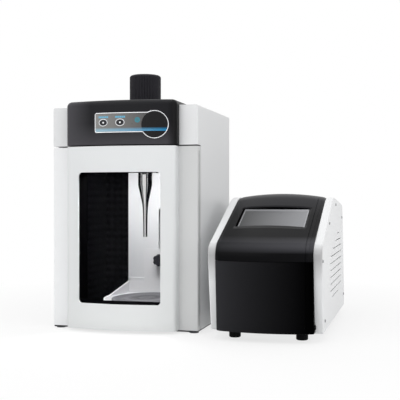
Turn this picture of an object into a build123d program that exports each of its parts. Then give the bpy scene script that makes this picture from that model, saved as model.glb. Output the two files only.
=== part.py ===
from build123d import *
from math import asin, atan2, cos, degrees, pi, sin, sqrt
import os

# Probe sonicator: a sound enclosure with a converter and horn, and its ultrasonic
# generator beside it. Millimetres, +Z up, X to the right, the doors and screens face -Y.
# Everything is built from the enclosure's lower left front corner, and moved at the end
# so that the origin is the bottom centre of the whole set.

# enclosure
enclosure_width = 354.0
enclosure_depth = 321.0
enclosure_top = 520.0
sheet = 3.0
seam_height = 427.5
seam_gap = 3.0
foot_height = 3.0
foot_radius = 11.0
foot_inset = 13.0
base_thickness = 3.0
base_inset = 1.5
foam_thickness = 12.0
foam_start = 46.0

# bowed front shared by the hood and the door
front_centre = enclosure_width / 2 - 0.7
bow_depth = 43.0
bow_radius = 486.0
hood_width = 268.0
hood_top = 531.0
hood_wall = 3.0
hood_overhang = 19.0
hood_corner = 14.0
door_panel_width = hood_width - 4.0

# door
door_thickness = 25.0
door_clearance = 0.5
door_sheet = 2.5
door_panel_wall = 4.0
door_edge = 9.0
hinge_inset = 9.0
hinge_stile = 20.0
hinge_pin_radius = 3.0
hinge_bore_depth = 18.0
hinge_pin_reach = 14.0
running_clearance = 0.05
window_width = 198.0
window_bottom = 65.5
window_height = 301.0
window_corner = 9.0
pane_thickness = 4.0
pane_lap = 6.0
gasket_lap = 12.0
tunnel_back = 16.0
sleeve_wall = 2.0
magnet_size = (16.0, 40.0)
magnet_height = 220.0
body_gap = 0.3

# converter, horn and cap
horn_axis_x = 177.0
horn_axis_y = 155.0
horn_radius = 18.0
horn_top = 440.0
horn_shoulder = 337.0
horn_taper_end = 300.0
horn_taper_radius = 8.5
horn_throat_height = 270.0
horn_throat_radius = 5.8
tip_height = 210.0
tip_radius = 5.0
housing_radius = 33.0
housing_wall = 3.0
neck_radius = 19.0
disc_radius = 22.5
disc_thickness = 6.0
disc_count = 4
cap_radius = 40.0
cap_top = 612.0
cap_wall = 5.5
rib_count = 48
rib_radius = 1.3
collar_height = 19.0
collar_lip = 6.0
collar_flange = 50.0

# sample stage
stage_height = 55.0
stage_width = 220.0
stage_back_width = 184.0
stage_sheet = 3.0
stage_front_y = 40.0
stage_lip = 2.0
stage_side_height = 30.0
stage_upright_width = 94.0
stage_upright_top = 172.0
mat_half_width = 84.0
mat_half_length = 110.0
mat_thickness = 3.0
guide_panel_width = 184.0
guide_panel_bottom = 95.0
guide_panel_y = enclosure_depth - 34.0
stage_back_reach = 102.0
mat_lead = 20.0
stage_widest_y = guide_panel_y - stage_back_reach
mat_y = stage_widest_y - mat_lead
slot_width = 14.0
slot_end = 9.0
boss_width = 12.0
boss_height = 36.0
clamp_height = 143.0
stage_travel = 110.0
rod_radius = 4.0
rod_spacing = 76.0
rod_y = enclosure_depth - 19.0
bracket_height = 14.0
carriage_depth = 19.0
carriage_height = 50.0
stud_radius = 3.0
knob_radius = 16.0
knob_depth = 20.0

# hood label and buttons
label_left = 122.0
label_bottom = 457.0
label_height = 43.5
label_thickness = 0.8
disc_label_x = 262.4
disc_label_z = 473.5
disc_label_radius = 30.8
button_x = (142.7, 183.4)
button_z = 479.0
button_half = (9.0, 6.5)
button_proud = 2.2
button_travel = 1.5
bezel_width = 1.7
bezel_height = 1.2
board_y = -14.0
board_thickness = 1.6

# generator
vent_low_front_inset = 46.0
vent_low_back_inset = 83.0
inlet_offset = 55.0
fan_offset = 45.0
generator_gap = 41.0
generator_left = enclosure_width + generator_gap
generator_width = 246.6
generator_foot_height = 18.0
generator_foot_radius = 13.0
foot_spread = 149.0
front_foot_y = -17.0
panel_thickness = 17.5
panel_skin = 3.0
panel_rim = 5.0
profile_front_bottom = -43.0
profile_knee = (-76.0, 201.0)
profile_top_front = (178.0, 311.0)
profile_top_back = (410.0, 289.0)
profile_back_bottom = 469.0
cover_wall = 3.5
cover_bevel = 8.0
cover_bottom = 20.0
cover_seam = 173.5
cover_bow = 14.0
cover_lead = 9.0
cover_lift = 1.0
cover_crown = 8.0
cover_rear = 400.0
cover_lip = 280.0
screen_width = 151.0
screen_length = 98.0
screen_y = 56.0
screen_frame = 4.0
screen_lap = 4.0
screen_depth = 3.0
glass_thickness = 3.0
module_depth = 18.0
slot_pitch = 16.0
slot_thick = 2.2
vent_bottom = 76.0
vent_front = 104.0
vent_back = 371.0
vent_front_rise = 95.0
vent_back_rise = 118.0
vent_count = 10
tray_thickness = 3.0
transformer_y = 250.0
transformer_radius = 48.0
transformer_height = 52.0
fan_size = 80.0
fan_depth = 25.0
fan_hub_radius = 17.0
fan_shaft_radius = 1.5
fan_height = 190.0
inlet_width = 30.0
inlet_height = 62.0
inlet_z = 75.0
rocker_angle = 9.0

# Places that follow from the sizes above
floor_z = foot_height + base_thickness
door_bottom = floor_z + door_clearance
door_top = seam_height - seam_gap / 2
header_z = seam_height + seam_gap / 2
cabinet_front = door_thickness + seam_gap
inner_back = enclosure_depth - sheet
bow_centre_y = bow_radius - bow_depth
hood_left = front_centre - hood_width / 2
hood_right = front_centre + hood_width / 2
hood_back = horn_axis_y + cap_radius + hood_overhang
door_panel_left = front_centre - door_panel_width / 2
door_panel_right = front_centre + door_panel_width / 2
window_centre_z = window_bottom + window_height / 2
hinge_x = hinge_inset
hinge_y = door_thickness - hinge_inset
foam_top = header_z - foam_thickness
lip_z = enclosure_top - sheet - collar_height + collar_lip
housing_top = cap_top - cap_wall - body_gap
generator_right = generator_left + generator_width
generator_centre = (generator_left + generator_right) / 2
cover_left = generator_left + panel_thickness
cover_right = generator_right - panel_thickness
slant = atan2(profile_top_front[1] - profile_knee[1], profile_top_front[0] - profile_knee[0])
tray_top = generator_foot_height + tray_thickness


def block(x0, x1, y0, y1, z0, z1):
    return Pos((x0 + x1) / 2, (y0 + y1) / 2, (z0 + z1) / 2) * Box(x1 - x0, y1 - y0, z1 - z0)


def rod_z(x, y, radius, z0, z1):
    return Pos(x, y, (z0 + z1) / 2) * Cylinder(radius, z1 - z0)


def rod_y_axis(x, z, radius, y0, y1):
    return Pos(x, (y0 + y1) / 2, z) * Rot(90, 0, 0) * Cylinder(radius, y1 - y0)


def slab(x, z, width, height, corner, y0, y1):
    """A rounded rectangle that faces -Y."""
    sketch = Pos(x, z) * RectangleRounded(width, height, corner)
    return extrude(Plane.XZ.offset(-y1) * sketch, y1 - y0)


def bow_y(x, inset=0.0):
    radius = bow_radius - inset
    return bow_centre_y - sqrt(radius ** 2 - (x - front_centre) ** 2)


def bow_block(x0, x1, back, z0, z1, inset=0.0):
    """A block whose front is the shared bow; inset moves the front and the sides inwards."""
    left, right = x0 + inset, x1 - inset
    start, end = (left, bow_y(left, inset)), (right, bow_y(right, inset))
    arc = ThreePointArc(start, (front_centre, bow_y(front_centre, inset)), end)
    sides = Polyline(end, (right, back), (left, back), start)
    return Pos(0, 0, z0) * extrude(make_face(arc.edges() + sides.edges()), z1 - z0)


def upright_edges(solid, front):
    edges = solid.edges().filter_by(Axis.Z).sort_by(Axis.Y)
    return edges[:2] if front else edges[-2:]


def top_edges(solid):
    return solid.faces().sort_by(Axis.Z)[-1].edges()


def hood_frame(x, z):
    """A plane on the hood's face: local z points out of the hood."""
    lean = asin((x - front_centre) / bow_radius)
    return Plane(origin=(x, bow_y(x), z), x_dir=(cos(lean), sin(lean), 0), z_dir=(sin(lean), -cos(lean), 0))


# Cabinet

def make_cabinet_shell():
    side = Polyline((cabinet_front, floor_z), (cabinet_front, header_z), (0, header_z), (0, enclosure_top),
                    (enclosure_depth, enclosure_top), (enclosure_depth, floor_z), close=True)
    outer = extrude(Plane.YZ * make_face(side), enclosure_width)
    crown = outer.edges().filter_by(Axis.Y).group_by(Axis.Z)[-1]
    outer = fillet(crown, 4.0)
    inside = block(sheet, enclosure_width - sheet, sheet, enclosure_depth + 1, header_z - 1, enclosure_top - sheet)
    chamber = block(sheet, enclosure_width - sheet, cabinet_front - 1, enclosure_depth + 1, floor_z - 1, header_z)
    top_hole = rod_z(horn_axis_x, horn_axis_y, housing_radius + 1, enclosure_top - 10, enclosure_top + 1)
    cable_hole = rod_y_axis(front_centre, button_z, 6.0, -1, sheet + 1)
    return outer - inside - chamber - top_hole - cable_hole


def make_cabinet_back():
    plate = block(sheet, enclosure_width - sheet, inner_back, enclosure_depth, floor_z, enclosure_top - sheet)
    for row in range(5):
        for side in (-1, 1):
            x = enclosure_width / 2 + side * 70
            plate -= slab(x, 450 + row * 11, 90, 4.0, 1.9, inner_back - 1, enclosure_depth + 1)
    return plate


def make_base_plate():
    return block(base_inset, enclosure_width - base_inset, base_inset, enclosure_depth - base_inset,
                 foot_height, floor_z) - rod_z(hinge_x, hinge_y, hinge_pin_radius, 0, floor_z + 1)


def make_chamber_ceiling():
    plate = block(sheet, enclosure_width - sheet, sheet, inner_back, header_z, header_z + sheet)
    plate -= rod_z(horn_axis_x, horn_axis_y, 30.0, header_z - 1, header_z + sheet + 1)
    return plate - rod_z(hinge_x, hinge_y, hinge_pin_radius, header_z - 1, header_z + sheet + 1)


def make_foam_side(side):
    """Wall foam with a return along the back, up to the light guide panel."""
    wall = sheet if side < 0 else enclosure_width - sheet
    inner = wall - side * foam_thickness
    panel = horn_axis_x + side * guide_panel_width / 2
    x0, x1 = sorted((wall, inner))
    b0, b1 = sorted((wall, panel))
    slab_side = block(x0, x1, foam_start, inner_back, floor_z, foam_top)
    return slab_side + block(b0, b1, inner_back - foam_thickness, inner_back, floor_z, foam_top)


def make_foam_ceiling():
    sheet_foam = block(sheet, enclosure_width - sheet, foam_start, inner_back, foam_top, header_z)
    return sheet_foam - rod_z(horn_axis_x, horn_axis_y, 32.0, foam_top - 1, header_z + 1)


def make_cabinet_foot(index):
    x = foot_inset if index % 2 == 0 else enclosure_width - foot_inset
    y = foot_inset + 2 if index < 2 else enclosure_depth - foot_inset - 2
    return fillet(rod_z(x, y, foot_radius, 0, foot_height).edges().sort_by(Axis.Z)[0], 1.0)


def make_hinge_pin(upper):
    """The pin stands in the ceiling plate or the base plate, and reaches into the door's bore."""
    if upper:
        pin = rod_z(hinge_x, hinge_y, hinge_pin_radius, door_top - hinge_pin_reach, header_z + sheet)
        return pin + rod_z(hinge_x, hinge_y, hinge_pin_radius + 2, header_z + sheet, header_z + sheet + 2)
    return rod_z(hinge_x, hinge_y, hinge_pin_radius, foot_height, door_bottom + hinge_pin_reach)


def make_door_magnet():
    width, height = magnet_size
    right = enclosure_width - sheet
    return block(right - width, right, door_thickness + body_gap, foam_start - body_gap,
                 magnet_height - height / 2, magnet_height + height / 2)


# Door

def make_door_frame():
    slab_door = block(0, enclosure_width, 0, door_thickness, door_bottom, door_top)
    hinge_edge = slab_door.edges().filter_by(Axis.Z).sort_by(lambda e: e.center().X - e.center().Y)[0]
    slab_door = fillet(hinge_edge, hinge_inset)
    slab_door = fillet(upright_edges(slab_door, True), 2.0)
    pocket = block(hinge_stile, enclosure_width - door_sheet, door_sheet, door_thickness + 1,
                   door_bottom + door_sheet, door_top - door_sheet)
    through = slab(front_centre, window_centre_z, window_width + 2 * (door_panel_wall + sleeve_wall),
                   window_height + 2 * (door_panel_wall + sleeve_wall), window_corner + door_panel_wall + sleeve_wall, -1, door_thickness)
    bore = hinge_pin_radius + running_clearance
    frame = slab_door - pocket - through
    frame -= rod_z(hinge_x, hinge_y, bore, door_top - hinge_bore_depth, door_top + 1)
    return frame - rod_z(hinge_x, hinge_y, bore, door_bottom - 1, door_bottom + hinge_bore_depth)


def make_door_panel():
    """The bowed front moulding with the tunnel that leads to the window pane."""
    outer = bow_block(door_panel_left, door_panel_right, 0, door_bottom, door_top)
    outer = fillet(upright_edges(outer, True), door_edge)
    inner = bow_block(door_panel_left, door_panel_right, 1, door_bottom + door_panel_wall,
                      door_top - door_panel_wall, door_panel_wall)
    inner = fillet(upright_edges(inner, True), door_edge - door_panel_wall)
    wall = door_panel_wall + sleeve_wall
    tunnel = slab(front_centre, window_centre_z, window_width + 2 * wall, window_height + 2 * wall,
                  window_corner + wall, -bow_depth - 5, tunnel_back)
    tunnel &= bow_block(door_panel_left, door_panel_right, tunnel_back, door_bottom, door_top)
    window = slab(front_centre, window_centre_z, window_width, window_height, window_corner,
                  -bow_depth - 5, tunnel_back + 1)
    return outer - inner + tunnel - window - sleeve_space(tunnel_back + 1)


def sleeve_space(back):
    """The room that the window sleeve fills, from just behind the panel's skin to back."""
    space = slab(front_centre, window_centre_z, window_width + 2 * sleeve_wall, window_height + 2 * sleeve_wall,
                 window_corner + sleeve_wall, -bow_depth - 5, back)
    return space & bow_block(door_panel_left, door_panel_right, back, door_bottom, door_top, door_panel_wall)


def make_door_liner():
    plate = block(hinge_stile, enclosure_width - door_sheet, door_thickness - door_sheet, door_thickness,
                  door_bottom + door_sheet, door_top - door_sheet)
    return plate - slab(front_centre, window_centre_z, window_width + 2 * gasket_lap,
                        window_height + 2 * gasket_lap, window_corner + gasket_lap, 0, door_thickness + 1)


def make_window_pane():
    middle = (tunnel_back + door_thickness) / 2
    return slab(front_centre, window_centre_z, window_width + 2 * pane_lap, window_height + 2 * pane_lap,
                window_corner + pane_lap, middle - pane_thickness / 2, middle + pane_thickness / 2)


def make_window_gasket():
    ring = slab(front_centre, window_centre_z, window_width + 2 * gasket_lap, window_height + 2 * gasket_lap,
                window_corner + gasket_lap, tunnel_back, door_thickness)
    ring += sleeve_space(tunnel_back)
    ring -= slab(front_centre, window_centre_z, window_width, window_height, window_corner,
                 -bow_depth - 5, door_thickness + 1)
    return ring - make_window_pane()


# Hood, label and buttons

def make_hood():
    outer = bow_block(hood_left, hood_right, hood_back, header_z, hood_top)
    outer = fillet(upright_edges(outer, True), hood_corner)
    outer = fillet(upright_edges(outer, False), 30.0)
    outer = fillet(top_edges(outer), hood_corner - 2)
    inner = bow_block(hood_left, hood_right, hood_back - hood_wall, header_z + hood_wall,
                      hood_top - hood_wall, hood_wall)
    inner = fillet(upright_edges(inner, True), hood_corner - hood_wall)
    inner = fillet(upright_edges(inner, False), 30.0 - hood_wall)
    inner = fillet(top_edges(inner), hood_corner - hood_wall - 2)
    hood = outer - inner - block(hood_left - 1, hood_right + 1, 0, hood_back + 1, header_z - 1, enclosure_top)
    hood -= rod_z(horn_axis_x, horn_axis_y, housing_radius + 1, enclosure_top - 1, hood_top + 1)
    for x in button_x:
        hood -= button_hole(x)
    return hood


def button_hole(x):
    a, b = button_half
    hole = Ellipse(a + body_gap, b + body_gap)
    return extrude(hood_frame(x, button_z) * hole, 6, both=True)


def make_hood_label():
    middle = label_bottom + label_height / 2
    bar_width = disc_label_x - label_left
    bar = Pos((label_left + disc_label_x) / 2, middle) * RectangleRounded(bar_width, label_height, 4.0)
    sketch = bar + Pos(disc_label_x, disc_label_z) * Circle(disc_label_radius)
    cutter = extrude(Plane.XZ * sketch, bow_depth + 10)
    skin = bow_block(hood_left, hood_right, 0, header_z, hood_top, -label_thickness)
    skin -= bow_block(hood_left, hood_right, 0, header_z, hood_top)
    label = cutter & skin
    for x in button_x:
        label -= button_hole(x)
    return label


def make_button(x):
    a, b = button_half
    frame = hood_frame(x, button_z)
    behind = hood_wall + body_gap
    stem = extrude(frame.offset(-behind) * Ellipse(a, b), behind + button_proud)
    stem = fillet(stem.faces().sort_by(Axis.Y)[0].edges(), 0.8)
    return stem + extrude(frame.offset(-behind - 2) * Ellipse(a + 2, b + 2), 2)


def make_button_bezels():
    """Two separate oval rings, one round each button."""
    a, b = button_half
    ring = Ellipse(a + body_gap + bezel_width, b + body_gap + bezel_width) - Ellipse(a + body_gap, b + body_gap)
    frames = [hood_frame(x, button_z).offset(label_thickness) for x in button_x]
    return Compound(children=[extrude(frame * ring, bezel_height).solid() for frame in frames])


def make_control_board():
    x0, x1 = button_x[0] - 20, disc_label_x + 10
    z0, z1 = label_bottom + 2, label_bottom + label_height - 2
    board = block(x0, x1, board_y, board_y + board_thickness, z0, z1)
    for x in button_x:
        back = hood_frame(x, button_z).offset(-hood_wall - body_gap - 2 - button_travel - body_gap).origin.Y
        board += block(x - 4, x + 4, back + 0.4, board_y, button_z - 4, button_z + 4)
    for x in (x0 + 5, x1 - 5):
        for z in (z0 + 5, z1 - 5):
            board += rod_y_axis(x, z, 2.5, board_y + board_thickness, 0)
    return board


# Converter, horn and cap

def make_converter_collar():
    top = enclosure_top - sheet
    bottom = top - collar_height
    ring = rod_z(horn_axis_x, horn_axis_y, collar_flange, bottom, top)
    ring -= rod_z(horn_axis_x, horn_axis_y, housing_radius + body_gap, lip_z, top + 1)
    return ring - rod_z(horn_axis_x, horn_axis_y, horn_radius + 4, bottom - 1, top)


def make_converter_housing():
    inner = housing_radius - housing_wall
    can = rod_z(horn_axis_x, horn_axis_y, housing_radius, lip_z, housing_top)
    can -= rod_z(horn_axis_x, horn_axis_y, inner, lip_z + 4, housing_top - housing_wall)
    return can - rod_z(horn_axis_x, horn_axis_y, neck_radius + 0.1, lip_z - 1, lip_z + 5)


def make_front_mass():
    neck = rod_z(horn_axis_x, horn_axis_y, neck_radius, horn_top, lip_z + 4)
    flange = rod_z(horn_axis_x, horn_axis_y, housing_radius - housing_wall - 3, lip_z + 4, lip_z + 10)
    return neck + flange + rod_z(horn_axis_x, horn_axis_y, disc_radius + 1.5, lip_z + 10, lip_z + 30)


def make_piezo_stack():
    base = lip_z + 30
    stack = rod_z(horn_axis_x, horn_axis_y, disc_radius, base, base + disc_count * disc_thickness)
    for i in range(1, disc_count):
        z = base + i * disc_thickness
        ring = rod_z(horn_axis_x, horn_axis_y, disc_radius + 1, z - 0.4, z + 0.4)
        stack -= ring - rod_z(horn_axis_x, horn_axis_y, disc_radius - 1, z - 1, z + 1)
    return stack


def make_back_mass():
    base = lip_z + 30 + disc_count * disc_thickness
    mass = rod_z(horn_axis_x, horn_axis_y, disc_radius + 1.5, base, base + 28)
    return mass + extrude(Pos(horn_axis_x, horn_axis_y, base + 28) * RegularPolygon(9, 6), 7)


def make_horn():
    """A stepped horn: shaft, cone, and a slender taper to the tip."""
    cone_end = (horn_taper_radius, horn_taper_end)
    throat = (horn_throat_radius, horn_throat_height)
    neck = Spline(cone_end, throat, tangents=[(-0.25, -1), (-0.02, -1)])
    upper = Polyline((0, horn_top), (horn_radius, horn_top), (horn_radius, horn_shoulder), cone_end)
    lower = Polyline(throat, (tip_radius, tip_height), (0, tip_height), (0, horn_top))
    outline = make_face(upper.edges() + neck.edges() + lower.edges())
    return Pos(horn_axis_x, horn_axis_y, 0) * revolve(Plane.XZ * outline, Axis.Z)


def make_fluted_cap():
    bottom = hood_top + body_gap
    cap = rod_z(horn_axis_x, horn_axis_y, cap_radius, bottom, cap_top)
    cap = fillet(cap.edges().sort_by(Axis.Z)[-1], 5.0)
    hollow = rod_z(horn_axis_x, horn_axis_y, housing_radius + body_gap, bottom - 1, cap_top - cap_wall)
    grooves = Sketch()
    for spot in PolarLocations(cap_radius + rib_radius * 0.5, rib_count):
        grooves += spot * Circle(rib_radius)
    cutter = Pos(horn_axis_x, horn_axis_y, bottom + 5) * extrude(grooves, cap_top - bottom - 12)
    return cap - hollow - cutter


# Sample stage and its guides

def make_guide_panel():
    x0, x1 = horn_axis_x - guide_panel_width / 2, horn_axis_x + guide_panel_width / 2
    y0, y1 = guide_panel_y, guide_panel_y + sheet
    channel = block(x0, x1, y0, inner_back, guide_panel_bottom, foam_top)
    channel -= block(x0 + sheet, x1 - sheet, y1, inner_back + 1, guide_panel_bottom - 1, foam_top + 1)
    low = clamp_height - boss_height / 2 - slot_end
    high = clamp_height + boss_height / 2 + stage_travel + slot_end
    slot = slab(horn_axis_x, (low + high) / 2, slot_width, high - low, slot_width / 2 - 0.1, y0 - 1, y1 + 1)
    return channel - slot


def rod_places():
    return [horn_axis_x - rod_spacing / 2, horn_axis_x + rod_spacing / 2]


def lower_bracket_z():
    return guide_panel_bottom + 3


def upper_bracket_z():
    return clamp_height + carriage_height / 2 + stage_travel + 20


def make_rod_bracket(z0):
    half = rod_spacing / 2 + 12
    bracket = block(horn_axis_x - half, horn_axis_x + half, guide_panel_y + sheet, inner_back, z0, z0 + bracket_height)
    for x in rod_places():
        bracket -= rod_z(x, rod_y, rod_radius, z0 - 1, z0 + bracket_height + 1)
    return bracket


def make_guide_rod(x):
    return rod_z(x, rod_y, rod_radius, lower_bracket_z(), upper_bracket_z() + bracket_height)


def make_carriage():
    half = rod_spacing / 2 + 12
    z0, z1 = clamp_height - carriage_height / 2, clamp_height + carriage_height / 2
    y0 = rod_y - carriage_depth / 2
    body = block(horn_axis_x - half, horn_axis_x + half, y0, y0 + carriage_depth, z0, z1)
    body += block(horn_axis_x - boss_width / 2, horn_axis_x + boss_width / 2, guide_panel_y - body_gap, y0,
                  clamp_height - boss_height / 2, clamp_height + boss_height / 2)
    for x in rod_places():
        body -= rod_z(x, rod_y, rod_radius + running_clearance, z0 - 1, z1 + 1)
    return body - rod_y_axis(horn_axis_x, clamp_height, stud_radius + running_clearance,
                             guide_panel_y - 2, y0 + carriage_depth - 3)


def stage_outline(inset=0.0):
    """The table from above: a long round nose, and sides that close in towards the back."""
    half, back_half, back = stage_width / 2 - inset, stage_back_width / 2 - inset, guide_panel_y - body_gap
    centre = Pos(horn_axis_x, stage_widest_y)
    nose = centre * Ellipse(half, stage_widest_y - stage_front_y - inset)
    nose &= Pos(horn_axis_x, stage_widest_y - stage_width) * Rectangle(2 * stage_width, 2 * stage_width)
    corners = [(horn_axis_x - half, stage_widest_y), (horn_axis_x + half, stage_widest_y),
               (horn_axis_x + back_half, back), (horn_axis_x - back_half, back)]
    return nose + make_face(Polyline(*corners, close=True))


def make_stage():
    """A sheet bracket: a lipped table with a long nose, two sloping sides and an upright."""
    back = guide_panel_y - body_gap
    bottom, side_top = stage_height - stage_sheet, stage_height + stage_side_height
    rim = stage_outline() - stage_outline(stage_sheet)
    slope = Polyline((stage_front_y - 5, bottom), (stage_front_y - 5, stage_height + stage_lip),
                     (stage_widest_y, stage_height + stage_lip), (back, side_top), (back, bottom), close=True)
    walls = Pos(0, 0, bottom) * extrude(rim, side_top - bottom)
    walls &= extrude(Plane.YZ.offset(horn_axis_x - stage_width) * make_face(slope), 2 * stage_width)
    low = block(horn_axis_x - stage_back_width / 2, horn_axis_x + stage_back_width / 2, back - stage_sheet, back,
                bottom, side_top)
    tall = slab(horn_axis_x, (stage_height + stage_upright_top) / 2, stage_upright_width,
                stage_upright_top - stage_height, 8, back - stage_sheet, back)
    stage = Pos(0, 0, bottom) * extrude(stage_outline(), stage_sheet) + walls + low + tall
    return stage - rod_y_axis(horn_axis_x, clamp_height, stud_radius + 0.2, back - 10, back + 1)


def mat_oval(share):
    return Pos(horn_axis_x, mat_y) * Ellipse(share * mat_half_width, share * mat_half_length)


def make_stage_mat():
    """An oval mat with four moulded grooves."""
    mat = Pos(0, 0, stage_height) * extrude(mat_oval(1.0), mat_thickness)
    for share in (0.3, 0.5, 0.7, 0.9):
        groove = mat_oval(share + 0.012) - mat_oval(share - 0.012)
        mat -= Pos(0, 0, stage_height + mat_thickness - 0.8) * extrude(groove, 2.0)
    return mat


def make_clamp_knob():
    back = guide_panel_y - body_gap - stage_sheet - body_gap
    knob = rod_y_axis(horn_axis_x, clamp_height, knob_radius, back - knob_depth, back)
    for i in range(6):
        angle = i * pi / 3
        x = horn_axis_x + (knob_radius + 3) * cos(angle)
        z = clamp_height + (knob_radius + 3) * sin(angle)
        knob -= rod_y_axis(x, z, 5.5, back - knob_depth - 1, back - 6)
    return knob + rod_y_axis(horn_axis_x, clamp_height, stud_radius, back - 2, rod_y + carriage_depth / 2 - 5)


# Generator case

def round_corners(face, corners):
    for point, radius in corners:
        face = fillet(face.vertices().sort_by_distance(point)[0], radius)
    return face


def side_profile(inset=0.0):
    points = [(profile_front_bottom, generator_foot_height), profile_knee, profile_top_front, profile_top_back,
              (profile_back_bottom, generator_foot_height)]
    face = make_face(Polyline(*points, close=True))
    if inset:
        face = offset(face, -inset, kind=Kind.INTERSECTION)
    corners = [(points[0], 6), (points[1], 28), (points[2], 140), (points[3], 34), (points[4], 12)]
    return round_corners(face, [(point, max(radius - inset, 1.0)) for point, radius in corners])


def vent_span(z):
    """Front and back end of the vent slot at height z; the field follows the case's outline."""
    rise = z - vent_bottom
    front = max(vent_front, vent_front + 8.0 + (rise - vent_front_rise) * 3.1)
    back = vent_back - max(0.0, rise - vent_back_rise) * 1.9
    if z < vent_bottom + slot_pitch / 2:
        front, back = front + vent_low_front_inset, back - vent_low_back_inset
    return front, back


def make_side_panel(side):
    outer_x = generator_left if side < 0 else generator_right
    inner_x = outer_x - side * panel_thickness
    x0, x1 = sorted((outer_x, inner_x))
    panel = extrude(Plane.YZ.offset(x0) * side_profile(), panel_thickness)
    outer_face = panel.faces().sort_by(Axis.X)[0 if side < 0 else -1]
    panel = fillet(outer_face.edges(), 2.5)
    p0, p1 = sorted((outer_x - side * panel_skin, inner_x - side * 1.0))
    panel -= extrude(Plane.YZ.offset(p0) * side_profile(panel_rim), p1 - p0)
    for i in range(vent_count):
        z = vent_bottom + i * slot_pitch
        front, back = vent_span(z)
        slot = Pos((front + back) / 2, z) * SlotOverall(back - front, slot_thick)
        panel -= extrude(Plane.YZ.offset(x0 - 1) * slot, panel_thickness + 2)
    return panel


def cover_section(x, crown, inset=0.0):
    """Side outline of the black cover at one x; crown is 0 at its edges and 1 in the middle."""
    forward, up = cover_lead + cover_bow * crown, cover_lift + cover_crown * crown
    points = [(profile_knee[0] - forward + 15, cover_bottom), (profile_knee[0] - forward, profile_knee[1] + 3.0),
              (profile_top_front[0] - 3.0, profile_top_front[1] + up),
              (cover_rear, profile_top_back[1] + 1.0 + up), (cover_rear, cover_bottom)]
    face = make_face(Polyline(*points, close=True))
    if inset:
        face = offset(face, -inset, kind=Kind.INTERSECTION)
    corners = [(points[1], 36), (points[2], 130), (points[3], 14)]
    return Plane.YZ.offset(x) * round_corners(face, [(point, radius - inset) for point, radius in corners])


def cover_loft(inset=0.0):
    """The cover's shape in straight strips: a bevel at each edge and a crown between them."""
    left, right = cover_left + cover_bevel, cover_right - cover_bevel
    quarter = (right - left) / 4
    stations = [(cover_left, -0.5), (left, 0.0), (left + quarter, 0.75), (right - quarter, 0.75), (right, 0.0),
                (cover_right, -0.5)]
    return loft([cover_section(x, crown, inset) for x, crown in stations], ruled=True)


def slant_frame(lift):
    """A plane parallel to the slanted face, under the screen's centre."""
    z = profile_knee[1] + (screen_y - profile_knee[0]) * sin(slant) / cos(slant)
    origin = Vector(generator_centre, screen_y, z) + Vector(0, -sin(slant), cos(slant)) * lift
    return Plane(origin=origin, x_dir=(1, 0, 0), z_dir=(0, -sin(slant), cos(slant)))


def make_cover(outer, inner):
    frame = slant_frame(screen_depth)
    wall = screen_frame
    socket = extrude(frame * RectangleRounded(screen_width + 2 * wall, screen_length + 2 * wall, wall + 1), 30)
    hole = extrude(frame.offset(-30) * RectangleRounded(screen_width, screen_length, 1.5), 80)
    case = outer - inner + (socket & outer) - hole
    split_y = (profile_top_front[0] + cover_rear) / 2
    below_seam = block(cover_left - 1, cover_right + 1, -cover_rear, split_y, 0, cover_seam + 0.5)
    below_lip = block(cover_left - 1, cover_right + 1, split_y - 1, 2 * cover_rear, 0, cover_lip)
    return case - below_seam - below_lip - make_screen_glass()


def make_front_panel(outer, inner):
    zone = block(cover_left, cover_right, -cover_rear, 0, 0, cover_seam - 0.5)
    return (outer - inner) & zone


def make_screen_glass():
    width, length = screen_width + 2 * screen_lap, screen_length + 2 * screen_lap
    return extrude(slant_frame(screen_depth - glass_thickness) * Rectangle(width, length), glass_thickness)


def make_screen_module():
    top = screen_depth - glass_thickness
    body = extrude(slant_frame(top - module_depth) * Rectangle(screen_width, screen_length), module_depth)
    return body + extrude(slant_frame(top - module_depth - 8) * Rectangle(90, 60), 8)


def make_tray():
    floor = block(cover_left, cover_right, 0, cover_rear, generator_foot_height, tray_top)
    tongue = block(cover_left, cover_right, front_foot_y - generator_foot_radius - 2, 0, generator_foot_height,
                   cover_bottom)
    return floor + tongue + block(cover_left, cover_right, 8, 8 + tray_thickness, tray_top, tray_top + 18)


def make_rear_panel():
    plate = block(cover_left, cover_right, cover_rear - sheet, cover_rear, tray_top, cover_lip)
    fan_x = generator_centre - fan_offset
    for ring in range(4):
        for k in range(max(1, ring * 6)):
            angle = k * 2 * pi / max(1, ring * 6)
            x, z = fan_x + ring * 10 * cos(angle), fan_height + ring * 10 * sin(angle)
            plate -= rod_y_axis(x, z, 3.6, cover_rear - sheet - 1, cover_rear + 1)
    plate -= block(inlet_x() - inlet_width / 2, inlet_x() + inlet_width / 2, cover_rear - 10, cover_rear + 1,
                   inlet_z - inlet_height / 2, inlet_z + inlet_height / 2)
    return plate - rod_y_axis(generator_centre - fan_offset, inlet_z, 8.0, cover_rear - 10, cover_rear + 1)


def inlet_x():
    return generator_centre + inlet_offset


def make_power_inlet():
    """Mains inlet with its three blades below, and the switch well above."""
    x, lip = inlet_x(), 4.0
    half_w, half_h = inlet_width / 2, inlet_height / 2
    body = block(x - half_w, x + half_w, cover_rear - 30, cover_rear, inlet_z - half_h, inlet_z + half_h)
    body += block(x - half_w - lip, x + half_w + lip, cover_rear, cover_rear + 2, inlet_z - half_h - lip,
                  inlet_z + half_h + lip)
    body -= block(x - 12, x + 12, cover_rear - 15, cover_rear + 3, inlet_z - 24, inlet_z - 7)
    for dx, dz in ((-7, -15), (7, -15), (0, -18.5)):
        body += block(x + dx - 1, x + dx + 1, cover_rear - 15, cover_rear - 3, inlet_z + dz - 2.5, inlet_z + dz + 2.5)
    return body - block(x - 11, x + 11, cover_rear - 14, cover_rear + 3, rocker_z() - 9, rocker_z() + 9)


def rocker_z():
    return inlet_z + 13


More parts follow.
